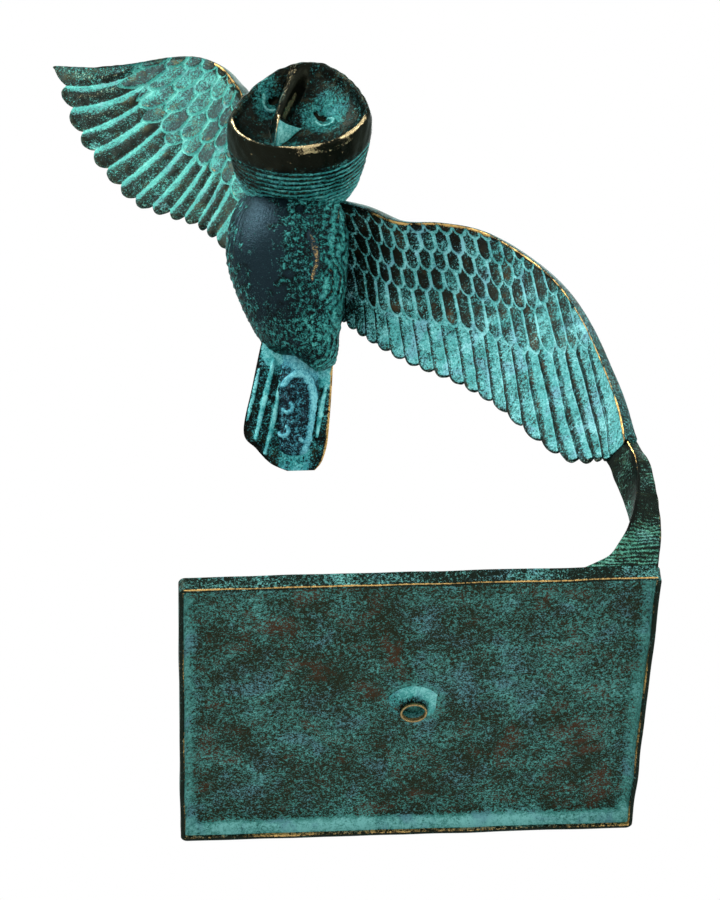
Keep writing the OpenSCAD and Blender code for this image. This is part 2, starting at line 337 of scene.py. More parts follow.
# The casting's unevenness: waves in the underside, a little sag in the top, and wavy sides
uneven = cast_ripple(tray_points, 34, seed=3)
small_wave = cast_ripple(tray_points, 9, seed=4)
tray_points[..., 2] += np.where(below_plate, 0.22 * uneven + 0.10 * small_wave, 0)
tray_points[..., 2] += np.where(tray_points[..., 2] > tray_h - 0.3, 0.12 * (uneven - 1), 0)
side_wave = (0.16 * cast_ripple(tray_points, 26, seed=5) - 0.16) * (inset_xy < 3)
tray_points[..., :2] += side_wave[..., None] * np.sign(tray_points[..., :2])
at_back = eased(tray_y, tray_half[1] - 14, tray_half[1] - 8)
at_front = eased(tray_y, 3 - tray_half[1], 1 - tray_half[1])
near_wall = eased(inset_xy, 9, 3.5) * below_plate * (0.35 + 0.65 * at_back)
outer_edge = eased(inset_xy, 0.7, 0.1) * eased(tray_points[..., 2], 1.0, 0.1)
inner_edge = eased(abs(inset_xy - rim_w), 0.9, 0.2)
tray_worn = np.where(rim_here, (0.45 + 0.2 * uneven) * inner_edge
                     + outer_edge * (0.25 + 0.55 * at_front + 0.15 * uneven), 0)
boss_crust = eased(from_middle, 18, 11) * eased(tray_x - tray_y, -22, 6)
tray_hollow = np.where(below_plate, 0.16 + near_wall + 0.35 * boss_crust,
                       0.12 + (0.22 + 0.15 * uneven) * at_front)
tray_bare = np.where(rim_here & (tray_points[..., 2] < 0.6), 0.3, 0.2 * at_front)
tray_finish = patina("Tray patina", pale="71B5B1", green="357A72", deep="0D3A38", cool="527E90",
                     brown="1F2416", dark="141D16", warm="3F2A1B", cover=0.24, hold=0.85,
                     speck=0.7, speck_share=0.95, patch=26, patch_share=0.42, cool_share=0.55,
                     grain=0.16)
tray_paint = {"hollow": tray_hollow, "rub_and_sheen": tray_worn, "bare": tray_bare}
tray = cast_skin("Tray", tray_points, tray_paint, tray_finish)
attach(tray, "root")
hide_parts("base_tray")

# ---------------------------------------------------------------- boss
# Short tube cast under the tray's middle for a mounting bolt, with a flared foot. Its
# mouth is rubbed to yellow metal, gold inside the bore near the mouth is a painted highlight
# of the lit inner wall, and bright crust has gathered round its foot.


def full_turn(steps):
    """Angles right round from 0, in radians, in equal steps."""
    return np.linspace(0, 2 * np.pi, steps, endpoint=False)


tube_out, tube_in, foot_r = 5.85, 4.9, (boss_high.x - boss_low.x) / 2 / mm
lip_z, flare_h, bore_rings = 0.45, 3.3, 12
lip_mid, lip_half = (tube_out + tube_in) / 2, (tube_out - tube_in) / 2
mouth, flare = np.linspace(0, np.pi, 9), np.linspace(0, np.pi / 2, 14)[::-1]
# The profile runs down the bore, over the lip, up the outside and the flare, and back
boss_r = np.concatenate([np.full(bore_rings, tube_in), lip_mid - lip_half * np.cos(mouth),
                         np.full(3, tube_out), foot_r - (foot_r - tube_out) * np.sin(flare),
                         [foot_r - 1, tube_in + 1]])
boss_z = np.concatenate([np.linspace(plate_z - 0.4, 0.5, bore_rings),
                         lip_z - lip_z * np.sin(mouth), [0.7, 1.2, 1.7],
                         plate_z - flare_h * (1 - np.cos(flare)), [plate_z + 0.3] * 2])
round_boss = full_turn(120)[:, None]
boss_points = np.stack([boss_r * np.cos(round_boss), boss_r * np.sin(round_boss),
                        boss_z + 0 * round_boss], axis=-1)
boss_wave = 0.012 * cast_ripple(boss_points, 9, seed=11) * (boss_r > tube_in + 0.5)
boss_points[..., :2] *= (1 + boss_wave)[..., None]
in_bore = np.arange(len(boss_r)) < bore_rings
up_right = 0.5 + 0.5 * np.cos(round_boss + 0.9)
boss_paint = {"hollow": np.where(in_bore, 0.55, 0.2 + 0.8 * eased(boss_r, tube_out, 8) * up_right),
              # Inside the bore, the extra gold toward the mouth is a painted highlight of the lit inner
              # wall; the gold round the mouth itself is wear
              "rub_and_sheen": np.where(in_bore, 0.45 * eased(boss_z, 4, 1), 0) + eased(boss_z, 2.6, 0.5) * 0.68,
              "bare": np.where(in_bore, 0.1, 0.25 * eased(boss_z, 3.4, 1))}
boss_finish = patina("Boss patina", warm="4A3A26", gold="A08A5E", cover=0.25, hold=0.8, speck=0.6,
                     speck_share=0.7, patch=9, patch_share=0.25)
boss = cast_skin("Boss", boss_points, boss_paint, boss_finish, looped=True)
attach(boss, "root")
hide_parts("mount_boss")

# ---------------------------------------------------------------- strut
# Curved bar that rises from the tray's right front corner and carries the low wing's tip.
# Cast with flat faces and a ridge between them, which handling has rubbed bright.


def on_curve(stations, t):
    """Smooth curve through stations, one for each row, at shares t of its length: a cubic
    through four neighbouring stations, with the end ones repeated."""
    p = np.asarray(stations, float)
    last = len(p) - 1
    s = np.clip(np.asarray(t, float) * last, 0, last - 1e-6)
    i = np.floor(s).astype(int)
    f = (s - i).reshape(s.shape + (1,) * (p.ndim - 1))
    a, b, c, d = p[np.maximum(i - 1, 0)], p[i], p[i + 1], p[np.minimum(i + 2, last)]
    return (b + (c - a) * f / 2 + (2 * a - 5 * b + 4 * c - d) * f * f / 2
            + (3 * b - a - 3 * c + d) * f ** 3 / 2)


# Height, then front left, front right, back right and back left corners
strut_cuts = [(7.3, 68, -82.5, 99, -82.5, 99, -66, 68, -66),
              (13, 78, -82.5, 100, -82.5, 100, -68, 79, -68),
              (20, 83.5, -82.5, 101.5, -82, 101, -69, 84, -69),
              (31, 89, -82, 103, -81, 102, -69, 90, -69),
              (45, 93.5, -80, 104, -78, 102.5, -67, 92.5, -66),
              (60, 96.5, -77, 104.5, -75, 101, -63, 91.5, -64),
              (76, 98, -74, 104.2, -72, 97, -59, 89.5, -61),
              (86, 96.8, -72, 102.2, -69, 96.2, -57, 88.3, -59.5),
              (95, 95.2, -70.2, 100.5, -66.8, 95, -55, 87, -56),
              (106, 94.5, -67, 98.8, -63, 93, -53, 85.5, -52),
              (120, 93.5, -62.5, 96, -60, 90, -52, 86, -52)]
strut_t = np.linspace(0, 1, 300)
cuts = on_curve(strut_cuts, strut_t)
corners = cuts[:, 1:].reshape(-1, 4, 2)
side_steps = 40
share = (np.arange(side_steps) / side_steps)[None, :, None]
edges = [corners[:, k, None] * (1 - share) + corners[:, (k + 1) % 4, None] * share for k in range(4)]
strut_xy = np.concatenate(edges, axis=1)
# Corners are rounded by averaging each point with its neighbours round the section
soft = strut_xy.copy()
for shift in (-2, -1, 1, 2):
    soft += np.roll(strut_xy, shift, axis=1)
strut_heights = np.repeat(cuts[:, None, :1], 4 * side_steps, axis=1)
strut_points = np.concatenate([soft / 5, strut_heights], axis=2)
strut_height = strut_points[..., 2]
# The place round the section, from 0 at the ridge through 1 at the right front corner
round_strut = np.arange(4 * side_steps)[None, :] / side_steps
to_ridge = np.minimum(round_strut, 4 - round_strut)
to_right = abs(round_strut - 1)
strut_points[..., :2] += (0.12 * cast_ripple(strut_points, 12, seed=21))[..., None]
front_face = (round_strut > 0) & (round_strut < 1)
left_face = round_strut > 3
brushed = 0.5 + 0.5 * np.sin(strut_height * 3.0 + 3.5 * cast_ripple(strut_points, 14, seed=22))
strut_patches = cast_ripple(strut_points, 18, seed=23)
foot = eased(strut_height, 40, 14)
ridge_gold = 0.25 + 0.45 * eased(strut_height, 62, 84) + 0.12 * strut_patches
strut_paint = {
    "hollow": np.where(left_face, 0.2, 0.14) + 0.1 * foot
    + (0.18 + 0.2 * foot) * brushed * front_face + 0.1 * strut_patches,
    "rub_and_sheen": eased(to_ridge, 0.06, 0.01) * ridge_gold
    + 0.42 * eased(to_right, 0.12, 0.03) * eased(strut_height, 14, 24),
    "bare": np.where(left_face, 0.1, 0.05)
    + 0.2 * eased(to_ridge, 0.25, 0.05) * eased(strut_height, 20, 34)}
strut_finish = patina("Strut patina", pale="6FA893", green="2C7862", deep="0D3731", brown="131A15",
                      warm="28301F", cover=0.12, hold=0.85, speck=0.6, speck_share=0.75, patch=12,
                      patch_share=0.35, cool_share=0.3)
strut = cast_skin("Strut", strut_points, strut_paint, strut_finish)
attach(strut, "root")
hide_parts("support_strut")

# ---------------------------------------------------------------- wings
# Two cast plates with feathers modelled on both faces: rows of small coverts like tiles,
# then long flight feathers with rounded tips. Crust lies in the grooves between feathers,
# and the leading ridge and the tips are rubbed to gold.


def unit(v):
    """Vectors along the last axis, each divided by its length."""
    return v / np.linalg.norm(v, axis=-1, keepdims=True)


def feathered(s, u, chord, wide, wing):
    """Feathers at span share s and chord share u, for chord length and one feather's width
    in drawing millimetres. A feather's number is its place along the tips plus lean times
    the share still to go, so shafts slant. Each row of tiles, from the ridge outward,
    covers what lies above its round ends; what none covers is flight feather. Returned
    are the distance in from the feather's outline (negative in the groove), the place
    across it from -1 to 1, the distance up from its end, the row, or -1, and a number of
    the feather's own."""
    number = np.interp(s, *wing["count"]) + wing["lean"] * (1 - u)
    number = np.minimum(number, wing["last"] - 0.35)
    across = 2 * (number - np.floor(number)) - 1
    inward = (1 - abs(across)) * wide / 2
    from_end = np.full(s.shape, 50.0)
    row = np.full(s.shape, -1)
    which = np.floor(number)
    tile_wide = wide / wing["tile_share"]
    tile_half = (tile_wide - wing["gap"]) / 2
    for r, (at, low_end) in enumerate(wing["rows"]):
        shifted = number * wing["tile_share"] + 0.5 * ((len(wing["rows"]) - r) % 2)
        a = 2 * (shifted - np.floor(shifted)) - 1
        end_u = np.interp(s, at, low_end)
        up = (end_u - u) * chord
        d = tile_half - np.hypot(abs(a) * tile_wide / 2, np.maximum(tile_half - up, 0))
        here = (row < 0) & (d > -0.6 * wing["gap"]) & (end_u > 0.012)
        across = np.where(here, a, across)
        inward = np.where(here, d, inward)
        from_end = np.where(here, up, from_end)
        row = np.where(here, r, row)
        which = np.where(here, np.floor(shifted) + 40 * (r + 1), which)
    return inward, across, from_end, row, which


def wing_piece(name, wing, finish):
    """Closed skin of one wing: across it, the underside from ridge to tips, the rounded tip
    edge, the back and the leading edge; along it, span shares from body to tip."""
    ns, front_steps, back_steps = wing["steps"], 130, 78
    camber, lead_t, tip_t = 3, 6, 2.2
    s = np.linspace(0, 1, ns)[:, None]
    g = on_curve(wing["lead"], s[:, 0])[:, None]
    tip = on_curve(wing["trail"], s[:, 0])[:, None]
    s1, s2 = np.maximum(0, s[:, 0] - 0.02), np.minimum(1, s[:, 0] + 0.02)
    along = unit(on_curve(wing["lead"], s2) - on_curve(wing["lead"], s1))[:, None]
    span = along + unit(on_curve(wing["trail"], s2) - on_curve(wing["trail"], s1))[:, None]
    chord_v = tip - g
    chord_mm = np.linalg.norm(chord_v, axis=-1)
    to_tip = unit(chord_v)
    n = wing["side"] * unit(np.cross(to_tip, span))
    out = unit(along * np.sum(to_tip * along, axis=-1, keepdims=True) - to_tip) * wing["edge"]
    number = np.interp(s, *wing["count"])
    tip_a = 2 * (number - np.floor(number)) - 1
    flat_end = 1 - wing["flat"] * eased(s, 0.7, 1)
    thin_end = 1 - wing["thin"] * eased(s, 0.6, 1)
    pulled = 1 - wing["scallop"] * (1 - np.sqrt(1 - 0.97 * tip_a * tip_a)) / chord_mm

    def face(u, back):
        """Point, height and paint of one face at chord shares u."""
        u = u * pulled
        base = g + chord_v * u[..., None] + n * (camber * flat_end * 4 * u * (1 - u))[..., None]
        thick = lead_t * thin_end + (tip_t - lead_t * thin_end) * u
        if back:
            base = base + out * np.maximum(0, 1 - 4 * u)[..., None] + n * thick[..., None]
        ds = np.linalg.norm(np.gradient(base, axis=0), axis=-1) * (ns - 1)
        per = np.gradient(np.interp(s, *wing["count"]), axis=0) * (ns - 1)
        width = np.clip(ds / np.maximum(per, 3), 3, 16)
        inward, across, from_end, row, which = feathered(s + 0 * u, u, chord_mm, width, wing)
        tile = row >= 0
        outer = eased(s, 0.35, 0.85) + 0.35 * (row == len(wing["rows"]) - 1)
        groove = eased(inward, -0.2, 0.5)
        own = abs(np.sin(12.9 * which) * 43.7) % 1
        wander = cast_ripple(base, 9, seed=33)
        dark_side = wing["dark_from"] + (wing["dark_to"] - wing["dark_from"]) * eased(s, 0.25, 0.8)
        dark_side = dark_side + 0.3 * (own - 0.5) + 0.12 * wander + wing["dark_tip"] * eased(u, 0.75, 1)
        shaft = dark_side - 0.3
        blade = np.where(across < shaft, eased(across, -1.0, shaft), 1 - 0.8 * eased(across, shaft, 1.0))
        height = np.where(tile, groove * (1 - 0.2 * across ** 2) * (0.75 + 0.25 * eased(from_end, 9, 1)),
                          0.2 + 0.8 * blade * eased(inward, 0, 0.8))
        root = eased(s, *wing["fade"])
        depth = wing["relief"] * (0.25 + 0.75 * root) * eased(u, 0.0, 0.04)
        bead = eased(u * chord_mm, 1.9, 0.5)
        lift = depth * (height - 0.6) + 0.7 * bead * (not back)
        lift = lift + 0.3 * cast_ripple(base, 11, seed=31) * (1 - root)
        lift = lift + 0.08 * cast_ripple(base, 4, seed=32)
        point = base + n * (lift * (1 if back else -1))[..., None]
        at_tip = eased(u, 0.96, 1.0) * (row < 0)
        streak = eased(across, dark_side + 0.3, shaft) * eased(across, -1.0, -0.86)
        # The 0.1 * across term puts more crust toward one side of each tile and less toward the other:
        # painted light and painted shade across the tile
        pad = wing["pad"] + 0.3 * (own - 0.4) + 0.1 * across + wing["dust"] * outer
        vane = wing["vane"] + 0.2 * (own - 0.5) - (wing["vane"] - 0.2) * streak
        vane = vane + 0.3 * eased(inward, 0.9, 0.1)
        hollow = np.where(tile, pad + (1 - pad) * eased(inward, 0.65, 0.0), vane)
        hollow = hollow * (0.4 + 0.6 * root) * (1 - 0.6 * bead * (not back)) + 0.1 * wander
        near_end = np.where(tile, eased(from_end, 3.2, 1.2) * eased(inward, 0.0, 0.5), 0)
        by_shaft = eased(abs(across - dark_side + 0.5), 0.5, 0.1) * (row < 0)
        rub_and_sheen = wing["tile_gold"] * near_end * (0.5 + own)
        rub_and_sheen = rub_and_sheen + wing["streak_gold"] * by_shaft * eased(u, 1.0, 0.85) * eased(s, 0.45, 0.8)
        on_ridge = bead * eased(s, 0.07, 0.13) * eased(s, *wing["ridge_to"]) * (not back)
        rub_and_sheen = rub_and_sheen + (0.12 + 0.25 * own) * at_tip + (0.62 + 0.22 * wander) * on_ridge
        # Along the high wing's leading edge a strip is darkened: dark bare metal, and painted shade of
        # the rounded edge's outer slope
        band = eased(u * chord_mm, wing["band"], wing["band"] - 1.2) * eased(s, 0.6, 0.45)
        bare = np.where(tile, wing["tile_bare"] * groove * (1 - 0.6 * outer), wing["vane_bare"] * streak)
        bare = bare + 0.4 * band + 0.06 * (1 - root) * eased(wander, -0.6, 0.6) + 0.1 * at_tip
        return point, hollow, rub_and_sheen, bare

    front_u = np.linspace(0.0, 1, front_steps)[None, :]
    back_u = np.linspace(1.0, 0, back_steps)[None, :]
    pf, hf, rf, bf = face(front_u, False)
    pb, hb, rb, bb = face(back_u, True)
    tip_turn = np.linspace(0, np.pi, 7)[None, 1:-1, None]
    mid_tip = (pf[:, -1:] + pb[:, :1]) / 2
    half_tip = (pf[:, -1:] - pb[:, :1]) / 2
    past = to_tip * np.linalg.norm(half_tip, axis=-1, keepdims=True) * 0.9
    tip_edge = mid_tip + half_tip * np.cos(tip_turn) + past * np.sin(tip_turn)
    mid_lead = (pf[:, :1] + pb[:, -1:]) / 2
    half_lead = (pb[:, -1:] - pf[:, :1]) / 2
    bulge = -0.8 * to_tip
    lead_turn = np.linspace(0, np.pi, 12)[None, 1:-1, None]
    lead_edge = mid_lead + half_lead * np.cos(lead_turn) + bulge * np.sin(lead_turn)
    rings = np.concatenate([pf, tip_edge, pb, lead_edge], axis=1)
    five, ten = np.ones((ns, 5)), np.ones((ns, 10))
    lead_band = (1 - np.linspace(0, 1, 10))[None, :] * ten
    paint_on = {"hollow": np.concatenate([hf, 0.2 * five, hb, wing["lead_crust"] * ten], axis=1),
                "rub_and_sheen": np.concatenate([rf, 0.36 * five, rb, 0.2 * eased(lead_band, 0.3, 0.0)], axis=1),
                "bare": np.concatenate([bf, 0.12 * five, bb, 0.05 * ten], axis=1)}
    if wing["end"]:
        # The ribs past the tip shrink onto their own middle, which rounds the end off
        k = np.linspace(0, 1, 8)[1:-1, None, None]
        core = rings[-1:].mean(axis=1, keepdims=True)
        last = core + (rings[-1:] - core) * (1 - k ** 4) ** 0.25 + unit(along[-1:]) * wing["end"] * k
        rings = np.concatenate([rings, last])
        paint_on = {key: np.concatenate([v, np.repeat(v[-1:], len(k), axis=0)])
                    for key, v in paint_on.items()}
    piece = cast_skin(name, rings, paint_on, finish)
    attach(piece, "root")
    return piece


# Stations along the ridge and along the tips; how many feathers pass at each span share,
# and how they slant; then thicknesses, relief, wear and painted shade, and where each row of tiles ends
low_wing_shape = {
    "lead": [(-26, -34, 290), (-7, -38, 279), (10, -41, 265), (29, -44, 260), (47, -47, 251),
             (63, -52, 231), (77, -56, 207), (86, -61, 176), (92, -65, 141), (95, -69, 113),
             (95.5, -71, 92)],
    "trail": [(-26, -2, 255), (-16, 2, 244), (-4, -2, 226), (13, -7, 206), (31, -15, 186),
              (47, -25, 160), (60, -37, 128), (71, -47, 105), (78, -53, 97), (83, -57, 94),
              (87, -59, 92)],
    "count": ((0, 0.145, 0.49, 0.57, 0.68, 0.77, 0.88, 1.0), (-4, 0, 10, 12, 14, 15, 16, 17.4)),
    "lean": 4.2, "last": 19, "side": -1, "edge": 1.0,
    "steps": 440, "scallop": 3.2, "gap": 1.1, "relief": 1.2, "fade": (0.09, 0.25), "flat": 0.9,
    "thin": 0.0, "dark_from": -0.5, "dark_to": 0.05, "dark_tip": 0.0, "dust": 0.16, "pad": 0.12,
    "vane": 0.5, "vane_bare": 0.14, "lead_crust": 0.2, "tile_share": 1.0, "tile_gold": 0.2,
    "streak_gold": 0.1, "tile_bare": 0.1, "band": 0, "ridge_to": (1.2, 1.1), "end": 2.2,
    "rows": [((0.1, 0.3, 0.4, 0.45), (0.085, 0.06, 0.05, 0)),
             ((0.1, 0.19, 0.35, 0.43, 0.48, 0.52), (0.24, 0.225, 0.18, 0.165, 0.11, 0)),
             ((0.1, 0.22, 0.35, 0.45, 0.48, 0.51, 0.55), (0.38, 0.36, 0.3, 0.295, 0.25, 0.13, 0)),
             ((0.1, 0.25, 0.34, 0.42, 0.5, 0.55, 0.58, 0.62),
              (0.52, 0.5, 0.44, 0.42, 0.36, 0.27, 0.16, 0)),
             ((0.1, 0.2, 0.37, 0.47, 0.54, 0.58, 0.665, 0.76),
              (0.76, 0.735, 0.655, 0.61, 0.57, 0.49, 0.3, 0))]}
high_wing_shape = {
    "lead": [(-42, -16, 300), (-49, -13, 350), (-57, -7, 397), (-61, -3, 413), (-67, 2, 430),
             (-78, 7, 443), (-92, 11, 448), (-110, 16, 450), (-128, 21, 453)],
    "trail": [(-54, -2, 268), (-66, 9, 299), (-81, 17, 329), (-95, 23, 344), (-112, 28, 360),
              (-127, 31, 388), (-140, 31, 418), (-147, 28, 446), (-150, 26, 461)],
    "count": ((0, 0.195, 0.263, 0.325, 0.508, 0.62, 0.738, 0.887, 1.0),
              (-3, 1, 3, 4, 7, 9, 11, 13, 13.6)),
    "lean": 1.4, "last": 14, "side": 1, "edge": 2.0,
    "steps": 380, "scallop": 4.2, "gap": 1.5, "relief": 1.5, "fade": (0.08, 0.18), "flat": 1.0,
    "thin": 0.45, "dark_from": 0.2, "dark_to": 0.45, "dark_tip": 0.25, "dust": 0.0, "pad": 0.16,
    "vane": 0.6, "vane_bare": 0.16, "lead_crust": 0.1, "tile_share": 0.76, "tile_gold": 0.34,
    "streak_gold": 0.36, "tile_bare": 0.0, "band": 5.0, "ridge_to": (0.62, 0.5), "end": 1.5,
    "rows": [((0.3, 0.5, 0.7, 0.9, 0.97), (0.04, 0.05, 0.1, 0.13, 0.0)),
             ((0.25, 0.5, 0.66, 0.8, 0.86), (0.15, 0.19, 0.28, 0.45, 0)),
             ((0.2, 0.47, 0.58, 0.71, 0.76), (0.3, 0.31, 0.4, 0.52, 0)),
             ((0.15, 0.37, 0.58, 0.65, 0.7), (0.46, 0.44, 0.54, 0.57, 0)),
             ((0.12, 0.3, 0.45, 0.55, 0.6), (0.62, 0.61, 0.57, 0.58, 0))]}
feather_finish = patina("Feather patina", pale="93D8DA", green="439D9B", deep="114446",
                        cool="78A8BE", brown="13140E", warm="332A1A", cover=0.2, hold=0.9,
                        speck=0.55, speck_share=0.9, patch=17, patch_share=0.13, cool_share=0.5,
                        grain=0.14, polish=0.42, chalk=0.06)
pad_finish = patina("Raised wing patina", pale="7CCBBD", green="3E998E", deep="35626A",
                    cool="6A8C96", brown="202A29", warm="3E3F2D", dark="11150E", cover=0.2,
                    hold=0.95, speck=0.5, speck_share=0.95, patch=12, patch_share=0.12,
                    grain=0.12, polish=0.45, chalk=-0.08)
low_wing = wing_piece("Low_wing", low_wing_shape, feather_finish)
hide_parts("low_wing")
high_wing = wing_piece("High_wing", high_wing_shape, pad_finish)
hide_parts("high_wing")

# ---------------------------------------------------------------- torso
# Egg-shaped casting that the wings, head and tail are brazed into. The breast's left side
# is polished dark; the rest is stippled, with wavy strokes toward the low wing.


def along_line(x, z, stations, reach):
    """How close each point is to a line through stations (x, z), as 1 on it and 0 at reach,
    with reach given for each station; the smallest distance over short lengths of it."""
    line = on_curve(stations, np.linspace(0, 1, 40))
    wide = np.interp(np.linspace(0, 1, 40), np.linspace(0, 1, len(reach)), reach)
    near = 0.0
    for (lx, lz), w in zip(line, wide):
        near = np.maximum(near, 1 - np.hypot(x - lx, z - lz) / w)
    return near


def turn_apart(a, b):
    """Degrees between two turns, from 0 to 180."""
    return abs((a - b + 180) % 360 - 180)


torso_axis = np.array([(-37, -28, 304), (-41, -16, 268), (-36, 12, 226)], float)
down = unit(torso_axis[2] - torso_axis[0])
aside = unit(np.cross((0, 1, 0), down))
behind = np.cross(down, aside)
torso_flat = 0.94
torso_t = np.linspace(0, 1, 230)[:, None]
torso_a = full_turn(300)[None, :]
to_left, to_back = np.cos(torso_a), np.sin(torso_a)
torso_r = on_curve([(21,), (26,), (29,), (29,), (26,), (21,), (14,)], torso_t[:, 0])
torso_r = torso_r * np.sqrt(1 - 0.85 * np.clip((torso_t - 0.93) / 0.07, 0, 1) ** 2)
torso_round = to_left[..., None] * aside + torso_flat * to_back[..., None] * behind
torso_points = on_curve(torso_axis, torso_t[:, 0])[:, None] + torso_r[:, None] * torso_round
# The belly hangs lower on the right, where it runs on into the tail
lower = eased(torso_t, 0.5, 1.0)
fuller = np.interp(torso_t, (0.5, 0.7, 0.83, 1.0), (0, -1.2, -1.8, 1.5))
torso_points[..., 0] += np.where(to_left < 0, fuller, 1.5 * lower) * abs(to_left)
torso_points[..., 2] += lower * 4.5 * to_left
torso_out = unit(to_left[..., None] * aside + to_back[..., None] * behind)
# Degrees round the torso: 0 is toward the high wing, 90 the back and 180 the low wing
turned = np.degrees(torso_a)
breast_turn, low_wing_turn, high_wing_turn, back_turn = 305, 200, 345, 90
wander = cast_ripple(torso_points, 24, seed=41)
ragged = 11 * cast_ripple(torso_points, 7, seed=43) + 8 * wander
smooth_side = eased(turn_apart(turned + ragged, breast_turn), 40, 18) * eased(torso_t, 0.0, 0.08)
smooth_side = smooth_side * eased(torso_t + ragged / 120, 1.0, 0.7)
stroke_side = eased(turn_apart(turned, low_wing_turn), 50, 25)
stroke_side = stroke_side + eased(turn_apart(turned, high_wing_turn), 28, 12) * eased(torso_t, 0.6, 0.4)
back_side = eased(turn_apart(turned, back_turn), 95, 70)
stroke_count = 26
bends = 5 * np.sin(torso_t * 9 + 2 * wander)
strokes = 0.5 + 0.5 * np.sin(torso_a * stroke_count + bends + 2 * wander)
stipple = cast_ripple(torso_points, 2.6, seed=42)
strength = stroke_side * eased(torso_t, 0.0, 0.15)
torso_lift = (0.7 * strength * (strokes - 0.5) + 0.24 * (1 - smooth_side) * stipple
              + 0.3 * back_side * (strokes - 0.5))
torso_points = torso_points + torso_out * (torso_lift - 0.3)[..., None]
torso_finish = patina("Body patina", pale="67BFB6", green="24807B", deep="083A40", cool="3F7E86",
                      brown="0A1113", warm="16262B", dark="17272E", cover=0.24, hold=0.75,
                      speck=0.65, speck_share=1.0, patch=15, patch_share=0.35, grain=0.28,
                      polish=0.3)
# One long stroke right of the middle is rubbed to gold, at these turns and percents down
gold_line = [(252, 47), (247, 53), (244, 59), (250, 66)]
gold_stroke = along_line(turned, 100 * torso_t, gold_line, (3, 5.5, 2.5))
torso_paint = {
    "hollow": 0.5 * (1 - strokes) * np.maximum(strength, back_side)
    + 0.3 * eased(stipple, 0.2, -0.5) * (1 - smooth_side) + 0.25 * eased(torso_t, 0.14, 0.02),
    "rub_and_sheen": 0.5 * strength * eased(strokes, 0.93, 1.0) * eased(wander, 0.1, 0.6)
    + (0.5 + 0.15 * wander) * eased(gold_stroke, 0.1, 0.7),
    "bare": 0.27 * smooth_side * eased(torso_t, 1.2, 0.4) + 0.2 * eased(gold_stroke, 0, 0.3)}
torso = cast_skin("Torso", torso_points, torso_paint, torso_finish)
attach(torso, "root")
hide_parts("torso")

# ---------------------------------------------------------------- head
# Hollow-faced owl's head: a bowl inside a raised rim, two sunk eyes with curled lids, and
# a brow ridge that runs down into a hooked beak. Fine rings are cut round its neck.
face_mid, head_depth, face_w, face_h = np.array((-35.0, -80.0, 299.0)), 60, 67, 62
# Depth behind the rim's plane and share of the face's size: the bowl, the rim, the outside
head_cuts = [(11, 0.02), (11, 0.3), (9.35, 0.62), (4.95, 0.83), (0, 0.92), (-0.6, 0.96), (1, 1),
             (6, 1.02), (16, 1.01), (28, 0.95), (40, 0.86), (50, 0.7), (56, 0.52), (60, 0.25)]
rim_at = 5 / (len(head_cuts) - 1)
head_t = np.concatenate([np.linspace(0, rim_at, 120, endpoint=False), np.linspace(rim_at, 1, 120)])
head_a = full_turn(380)[None, :]
depth_size = on_curve(head_cuts, head_t)
depth, size = depth_size[:, :1], depth_size[:, 1:]
rise = np.sin(head_a)
above, below = 0.59, 0.41
face_x = face_w / 2 * np.cos(head_a) * (1 - 0.25 * np.maximum(0, rise)) * size
face_z = face_h * np.where(rise > 0, above, below) * rise * size
inside = head_t[:, None] < rim_at


def dimple(x, z, middle, half):
    """1 at the middle of an upright oval, falling smoothly to 0 at its edge."""
    return eased(np.hypot((x - middle[0]) / half[0], (z - middle[1]) / half[1]), 1.0, 0.0)


right_eye = dimple(face_x, face_z, (11, 10.5), (12.5, 14))
left_eye = dimple(face_x, face_z, (-17, 18), (9, 13))
right_pupil = [(6.4, 14.6), (8.4, 13), (10.4, 12.3), (12.4, 11.2)]
left_pupil = [(-15.6, 19.8), (-13.6, 20.2), (-11.6, 20.8)]
pupils = np.maximum(along_line(face_x, face_z, right_pupil, (1.4, 2.3, 1.2)),
                    along_line(face_x, face_z, left_pupil, (1.4, 2.1, 1.2)))
right_lid = [(7.5, 8), (9.2, 5.5), (12, 4), (15.2, 5.4), (15, 8.5), (12.5, 10)]
left_lid = [(-18.6, 19), (-18.4, 16.4), (-16.2, 14), (-13, 13.6)]
lids = np.maximum(along_line(face_x, face_z, right_lid, (1.5, 1.7, 1.1)),
                  along_line(face_x, face_z, left_lid, (1.5, 1.7, 1.1)))
ridge_line = [(-2.2, 37), (-4.4, 28), (-7.2, 17), (-9.2, 6), (-9.8, 1)]
ridge = along_line(face_x, face_z, ridge_line, (7.5, 6.4, 5.4, 4.4, 3.6))
right_edge = [(-3.4, 19), (-5, 13), (-7, 5), (-7.6, 1)]
ridge_right = along_line(face_x, face_z, right_edge, (0.9, 1.5, 1.5))
# The beak's middle line drops from the brow to a tip in the rim's plane; its right side
# is one flat facet, whose width falls away toward the tip
beak_x = -9.9
beak_drop = np.clip((1.7 - face_z) / 15, 0, 1)
beak_right = 0.7 + 11 * (1 - beak_drop) ** 1.1
beak_left = 0.7 + 4 * (1 - beak_drop)
beak_across = np.where(face_x < beak_x, (beak_x - face_x) / beak_left, (face_x - beak_x) / beak_right)
in_beak = (face_z < 0) & (face_z > -18)
beak = np.clip(1 - beak_across, 0, 1) * eased(face_z, 4.5, -1) * eased(face_z, -21.5, -16)
raised = eased(ridge, 0.0, 0.75) * np.maximum(depth - 0.8, 0)
beak_lift = (depth + 0.4) * beak
sink = 4.2 * right_eye + 3.6 * left_eye + 1.8 * eased(pupils, 0.0, 0.6) - 1.9 * eased(lids, 0.1, 0.7)
push = np.where(inside, sink * eased(size, 0.92, 0.75) - np.maximum(raised, beak_lift), 0)
